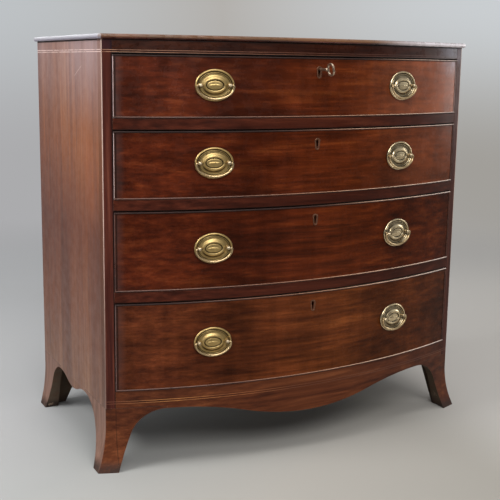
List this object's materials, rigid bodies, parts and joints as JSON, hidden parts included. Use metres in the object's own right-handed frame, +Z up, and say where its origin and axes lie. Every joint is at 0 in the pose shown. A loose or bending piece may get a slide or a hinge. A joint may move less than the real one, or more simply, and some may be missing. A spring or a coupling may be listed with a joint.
{
  "type": "bow front chest of drawers",
  "caption": "Bow front chest of long graduated drawers with oval drop handles, locks, a shaped apron and splayed bracket feet.",
  "frame": {"origin": "on the floor, in the middle of the ground that the whole chest covers, key included", "axes": "+Z up, +X to the right seen from the front, the bowed front faces -Y"},
  "size_m": [0.964, 0.604, 0.92],
  "materials": {
    "mahogany_case": "old french polish, satin",
    "mahogany_side": "faded french polish, straight grain",
    "mahogany_front": "figured veneer under polish",
    "cockbead_wood": "polished",
    "oak_lining": "bare, scraped",
    "pine": "bare, dusty",
    "brass": "stamped and lacquered, worn",
    "lock_brass": "dull",
    "iron": "worn iron"
  },
  "bodies": {
    "root": {"top_board": "mahogany_case", "carcase_top": "pine", "side_left": "mahogany_side", "side_right": "mahogany_side", "back_boards": "pine", "front_stiles": "mahogany_case", "top_rail": "mahogany_case", "drawer_rails": "mahogany_case", "dustboards": "pine", "drawer_runners": "pine", "carcase_bottom": "pine", "drawer_stops": "oak_lining", "front_apron": "mahogany_case", "side_aprons": "mahogany_side", "foot_front_left": "mahogany_case", "foot_front_right": "mahogany_case", "foot_rear_left": "mahogany_side", "foot_rear_right": "mahogany_side"},
    "drawer_1": {"drawer_1_front": "mahogany_front", "drawer_1_sides": "oak_lining", "drawer_1_back": "oak_lining", "drawer_1_bottom": "oak_lining", "drawer_1_cockbead": "cockbead_wood", "drawer_1_lock": "lock_brass", "drawer_1_handle_plates": "brass", "drawer_1_handle_posts": "brass"},
    "bail_1_left": {"bail_1_left": "brass"},
    "bail_1_right": {"bail_1_right": "brass"},
    "key": {"key": "iron"},
    "lock_bolt": {"lock_bolt": "iron"},
    "drawer_2": {"drawer_2_front": "mahogany_front", "drawer_2_sides": "oak_lining", "drawer_2_back": "oak_lining", "drawer_2_bottom": "oak_lining", "drawer_2_cockbead": "cockbead_wood", "drawer_2_lock": "lock_brass", "drawer_2_handle_plates": "brass", "drawer_2_handle_posts": "brass"},
    "bail_2_left": {"bail_2_left": "brass"},
    "bail_2_right": {"bail_2_right": "brass"},
    "drawer_3": {"drawer_3_front": "mahogany_front", "drawer_3_sides": "oak_lining", "drawer_3_back": "oak_lining", "drawer_3_bottom": "oak_lining", "drawer_3_cockbead": "cockbead_wood", "drawer_3_lock": "lock_brass", "drawer_3_handle_plates": "brass", "drawer_3_handle_posts": "brass"},
    "bail_3_left": {"bail_3_left": "brass"},
    "bail_3_right": {"bail_3_right": "brass"},
    "drawer_4": {"drawer_4_front": "mahogany_front", "drawer_4_sides": "oak_lining", "drawer_4_back": "oak_lining", "drawer_4_bottom": "oak_lining", "drawer_4_cockbead": "cockbead_wood", "drawer_4_lock": "lock_brass", "drawer_4_handle_plates": "brass", "drawer_4_handle_posts": "brass"},
    "bail_4_left": {"bail_4_left": "brass"},
    "bail_4_right": {"bail_4_right": "brass"}
  },
  "joints": [
    {"name": "drawer_1_slide", "type": "slide", "parent": "root", "child": "drawer_1", "axis": [0, -1, 0], "range_m": [0, 0.35]},
    {"name": "bail_1_left_hinge", "type": "hinge", "parent": "drawer_1", "child": "bail_1_left", "pos_m": [-0.23938, -0.23065, 0.8205], "axis": [-0.9833, 0.1818, 0], "range_deg": [0, 170]},
    {"name": "bail_1_right_hinge", "type": "hinge", "parent": "drawer_1", "child": "bail_1_right", "pos_m": [0.23938, -0.23065, 0.8205], "axis": [-0.9833, -0.1818, 0], "range_deg": [0, 170]},
    {"name": "key_turn", "type": "hinge", "parent": "drawer_1", "child": "key", "pos_m": [0, -0.245, 0.8549], "axis": [0, 1, 0], "range_deg": [0, 180]},
    {"name": "lock_bolt_slide", "type": "slide", "parent": "drawer_1", "child": "lock_bolt", "axis": [0, 0, 1], "range_m": [0, 0.008]},
    {"name": "drawer_2_slide", "type": "slide", "parent": "root", "child": "drawer_2", "axis": [0, -1, 0], "range_m": [0, 0.35]},
    {"name": "bail_2_left_hinge", "type": "hinge", "parent": "drawer_2", "child": "bail_2_left", "pos_m": [-0.23938, -0.23065, 0.66075], "axis": [-0.9833, 0.1818, 0], "range_deg": [0, 170]},
    {"name": "bail_2_right_hinge", "type": "hinge", "parent": "drawer_2", "child": "bail_2_right", "pos_m": [0.23938, -0.23065, 0.66075], "axis": [-0.9833, -0.1818, 0], "range_deg": [0, 170]},
    {"name": "drawer_3_slide", "type": "slide", "parent": "root", "child": "drawer_3", "axis": [0, -1, 0], "range_m": [0, 0.35]},
    {"name": "bail_3_left_hinge", "type": "hinge", "parent": "drawer_3", "child": "bail_3_left", "pos_m": [-0.23938, -0.23065, 0.48025], "axis": [-0.9833, 0.1818, 0], "range_deg": [0, 170]},
    {"name": "bail_3_right_hinge", "type": "hinge", "parent": "drawer_3", "child": "bail_3_right", "pos_m": [0.23938, -0.23065, 0.48025], "axis": [-0.9833, -0.1818, 0], "range_deg": [0, 170]},
    {"name": "drawer_4_slide", "type": "slide", "parent": "root", "child": "drawer_4", "axis": [0, -1, 0], "range_m": [0, 0.35]},
    {"name": "bail_4_left_hinge", "type": "hinge", "parent": "drawer_4", "child": "bail_4_left", "pos_m": [-0.23938, -0.23065, 0.27475], "axis": [-0.9833, 0.1818, 0], "range_deg": [0, 170]},
    {"name": "bail_4_right_hinge", "type": "hinge", "parent": "drawer_4", "child": "bail_4_right", "pos_m": [0.23938, -0.23065, 0.27475], "axis": [-0.9833, -0.1818, 0], "range_deg": [0, 170]}
  ],
  "couplings": [
    {"joint": "lock_bolt_slide", "follows": "key_turn", "m_per_rad": 0.0025465}
  ]
}
